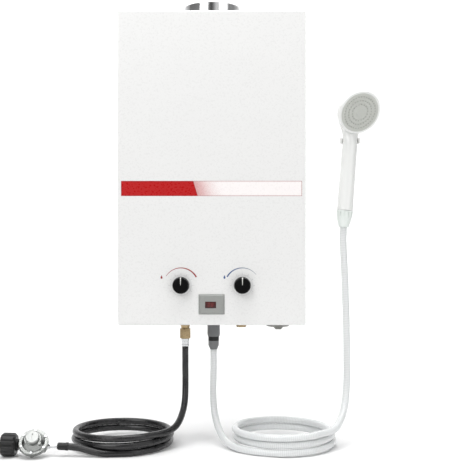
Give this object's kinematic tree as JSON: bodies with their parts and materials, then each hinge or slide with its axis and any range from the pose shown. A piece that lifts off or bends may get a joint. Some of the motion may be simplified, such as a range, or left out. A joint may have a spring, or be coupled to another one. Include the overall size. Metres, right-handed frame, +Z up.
{
  "type": "portable propane water heater",
  "caption": "Wall-hung propane water heater: tall flat case with knobs and a display, coiled gas hose with regulator and tank nut, coiled shower hose with handset on a hook.",
  "frame": {"origin": "on the wall plane, halfway between the two keyholes that the case hangs from", "axes": "+X to the right as seen from the front, +Y into the wall, +Z up"},
  "size_m": [0.7291, 0.2277, 0.872],
  "materials": {
    "case_white": "baked white enamel with a red band across the front",
    "zinc_steel": "galvanised sheet",
    "bright_chrome": "polished",
    "plated": "bright zinc plating",
    "copper": "tinned copper, heat-stained",
    "burner_steel": "stainless, heat-tinted",
    "cast_aluminium": "die-cast, satin",
    "brass": "machined",
    "black_plastic": "semi-gloss black",
    "grey_plastic": "satin grey",
    "dark_plastic": "matte black",
    "display_red": "dark red filter window",
    "circuit_green": "circuit board",
    "ceramic": "glazed ceramic and wire",
    "cell_wrap": "plain printed sleeve",
    "gas_rubber": "braided black hose",
    "white_hose": "white vinyl hose",
    "white_plastic": "glossy white",
    "pale_grey_plastic": "satin pale grey",
    "ring_black": "black seal"
  },
  "bodies": {
    "heater": {"back_panel": "zinc_steel", "front_cover": "case_white", "cover_screws": "plated", "bottom_plate": "zinc_steel", "flue_collar": "bright_chrome", "exhaust_hood": "zinc_steel", "heat_exchanger": "copper", "cold_feed_pipe": "copper", "hot_return_pipe": "copper", "burner_tray": "burner_steel", "burner_blades": "burner_steel", "gas_manifold": "cast_aluminium", "ignition_electrodes": "ceramic", "igniter_box": "dark_plastic", "gas_valve_body": "cast_aluminium", "water_valve_body": "brass", "gas_solenoid": "dark_plastic", "diaphragm_cover": "cast_aluminium", "microswitch": "dark_plastic", "display_bezel": "grey_plastic", "display_window": "display_red", "display_board": "circuit_green", "gas_inlet_fitting": "brass", "gas_flare_nut": "brass", "gas_ferrule": "plated", "cold_water_inlet": "brass", "drain_plug": "brass", "hot_water_outlet": "brass", "coupler_ring": "ring_black", "hose_tail_sleeve": "grey_plastic", "battery_tube": "grey_plastic", "battery_cells": "cell_wrap", "battery_contact": "plated", "gas_hose_drop": "gas_rubber", "gas_hose_coil": "gas_rubber", "gas_hose_tail": "gas_rubber", "gas_tail_ferrule": "plated", "regulator_outlet": "plated", "regulator_body": "cast_aluminium", "regulator_bonnet": "cast_aluminium", "regulator_cap": "dark_plastic", "regulator_screws": "plated", "tank_stem": "brass", "wall_hook": "white_plastic", "shower_hose_drop": "white_hose", "shower_hose_coil": "white_hose", "shower_hose_riser": "white_hose"},
    "gas_knob": {"gas_knob": "black_plastic", "gas_spindle": "brass"},
    "water_knob": {"water_knob": "black_plastic", "water_spindle": "brass"},
    "battery_cap": {"battery_cap": "grey_plastic"},
    "tank_nut": {"tank_nut": "dark_plastic"},
    "coupler_collar": {"outlet_coupler": "grey_plastic"},
    "handset": {"handset_shell": "white_plastic", "handset_rim": "white_plastic", "handset_face": "pale_grey_plastic"},
    "handset_nut": {"handset_nut": "pale_grey_plastic"}
  },
  "joints": [
    {"name": "gas_knob_turn", "type": "hinge", "parent": "heater", "child": "gas_knob", "pos_m": [-0.06, -0.13, -0.478], "axis": [0, -1, 0], "range_deg": [-60, 60]},
    {"name": "water_knob_turn", "type": "hinge", "parent": "heater", "child": "water_knob", "pos_m": [0.06, -0.13, -0.478], "axis": [0, -1, 0], "range_deg": [-60, 60]},
    {"name": "battery_cap_twist", "type": "hinge", "parent": "heater", "child": "battery_cap", "pos_m": [0.133, -0.065, -0.56], "axis": [0, 0, 1], "range_deg": [0, 60]},
    {"name": "tank_nut_spin", "type": "hinge", "parent": "heater", "child": "tank_nut", "pos_m": [-0.37924, -0.198, -0.77216], "axis": [-0.9994, 0, 0.0349], "continuous": true},
    {"name": "coupler_collar_slide", "type": "slide", "parent": "heater", "child": "coupler_collar", "axis": [0, 0, -1], "range_m": [0, 0.005], "stiffness_N_per_m": 800, "springref_m": -0.003},
    {"name": "handset_lift", "type": "slide", "parent": "heater", "child": "handset", "axis": [0.075, 0, 0.9972], "range_m": [0, 0.04], "deforming": ["shower_hose_riser"]},
    {"name": "handset_nut_spin", "type": "hinge", "parent": "handset", "child": "handset_nut", "pos_m": [0.26673, -0.075, -0.34695], "axis": [0.075, 0, 0.9972], "continuous": true}
  ]
}
